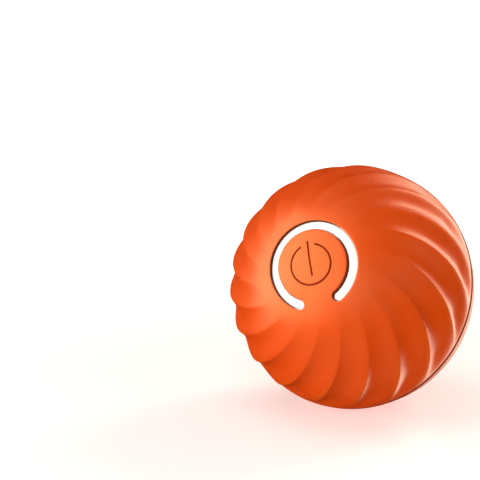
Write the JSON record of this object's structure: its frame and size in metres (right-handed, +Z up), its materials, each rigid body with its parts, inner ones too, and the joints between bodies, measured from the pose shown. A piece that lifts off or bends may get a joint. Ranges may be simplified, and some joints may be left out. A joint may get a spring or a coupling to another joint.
{
  "type": "self-rolling pet ball",
  "caption": "Soft ribbed ball for dogs that rolls by itself: a sealed core holds a geared motor and a swinging weight, with a hinged power button in a light ring.",
  "frame": {"origin": "centre of the ball", "axes": "+Z up as the ball lies on a floor, -Y towards the side where the button faces, with the button axis leaning up from -Y by the rest tilt; the lowest point of the ball is on -Z"},
  "size_m": [0.0794, 0.0798, 0.0791],
  "materials": {
    "soft_skin": "satin soft-touch",
    "light_guide": "milky",
    "core_plastic": "moulded",
    "seal_rubber": "matte",
    "circuit_board": "lacquered",
    "black_plastic": "moulded",
    "lamp_clear": "clear",
    "cell_foil": "foil",
    "foam_pad": "foam",
    "lead_cover": "soft",
    "frame_plastic": "moulded",
    "gear_plastic": "smooth",
    "motor_steel": "plated",
    "weight_steel": "machined",
    "screw_steel": "plated",
    "socket_steel": "plated",
    "bush_brass": "turned"
  },
  "bodies": {
    "shell": {"front_skin": "soft_skin", "rear_skin": "soft_skin", "light_ring": "light_guide", "front_core": "core_plastic", "rear_core": "core_plastic", "core_seal": "seal_rubber", "main_board": "circuit_board", "charge_board": "circuit_board", "board_screws": "screw_steel", "frame_screws": "screw_steel", "plate_screws": "screw_steel", "motor_screws": "screw_steel", "bridge_screws": "screw_steel", "charge_screws": "screw_steel", "switch_body": "black_plastic", "lamps": "lamp_clear", "battery_cell": "cell_foil", "battery_pad": "foam_pad", "battery_leads": "lead_cover", "motor_leads": "lead_cover", "charge_leads": "lead_cover", "drive_frame": "frame_plastic", "gear_plate": "frame_plastic", "rear_bridge": "frame_plastic", "motor_can": "motor_steel", "motor_cap": "black_plastic", "gear_pin": "screw_steel", "front_bush": "bush_brass", "rear_bush": "bush_brass", "charge_socket": "socket_steel"},
    "button": {"power_button": "soft_skin", "button_plunger": "core_plastic"},
    "stem": {"switch_stem": "gear_plastic"},
    "swing": {"drive_axle": "screw_steel", "axle_clips": "screw_steel", "output_gear": "gear_plastic", "swing_weight": "weight_steel", "weight_screw": "screw_steel"},
    "reduction": {"reduction_gear": "gear_plastic"},
    "rotor": {"motor_shaft": "screw_steel", "motor_pinion": "bush_brass"},
    "plug": {"charge_plug": "soft_skin"}
  },
  "joints": [
    {"name": "button_press", "type": "hinge", "parent": "shell", "child": "button", "pos_m": [0.00363, -0.03913, 0.00305], "axis": [-0.9511, -0.1107, -0.2885], "range_deg": [0, 2.4], "stiffness_Nm_per_rad": 0.6},
    {"name": "stem_press", "type": "slide", "parent": "shell", "child": "stem", "axis": [0, 0.9336, -0.3584], "range_m": [0, 0.0005021]},
    {"name": "weight_swing", "type": "hinge", "parent": "shell", "child": "swing", "pos_m": [0, 0, 0], "axis": [0, -0.9336, 0.3584], "continuous": true},
    {"name": "reduction_turn", "type": "hinge", "parent": "shell", "child": "reduction", "pos_m": [0.01208, -0.00389, -0.01014], "axis": [0, -0.9336, 0.3584], "continuous": true},
    {"name": "rotor_turn", "type": "hinge", "parent": "shell", "child": "rotor", "pos_m": [0, -0.00609, -0.01587], "axis": [0, -0.9336, 0.3584], "continuous": true},
    {"name": "plug_pull", "type": "slide", "parent": "shell", "child": "plug", "axis": [0, 0.9336, -0.3584], "range_m": [0, 0.012]}
  ],
  "couplings": [
    {"joint": "stem_press", "follows": "button_press", "m_per_rad": 0.011747},
    {"joint": "reduction_turn", "follows": "weight_swing", "ratio": -4.4},
    {"joint": "rotor_turn", "follows": "weight_swing", "ratio": 19.36}
  ]
}
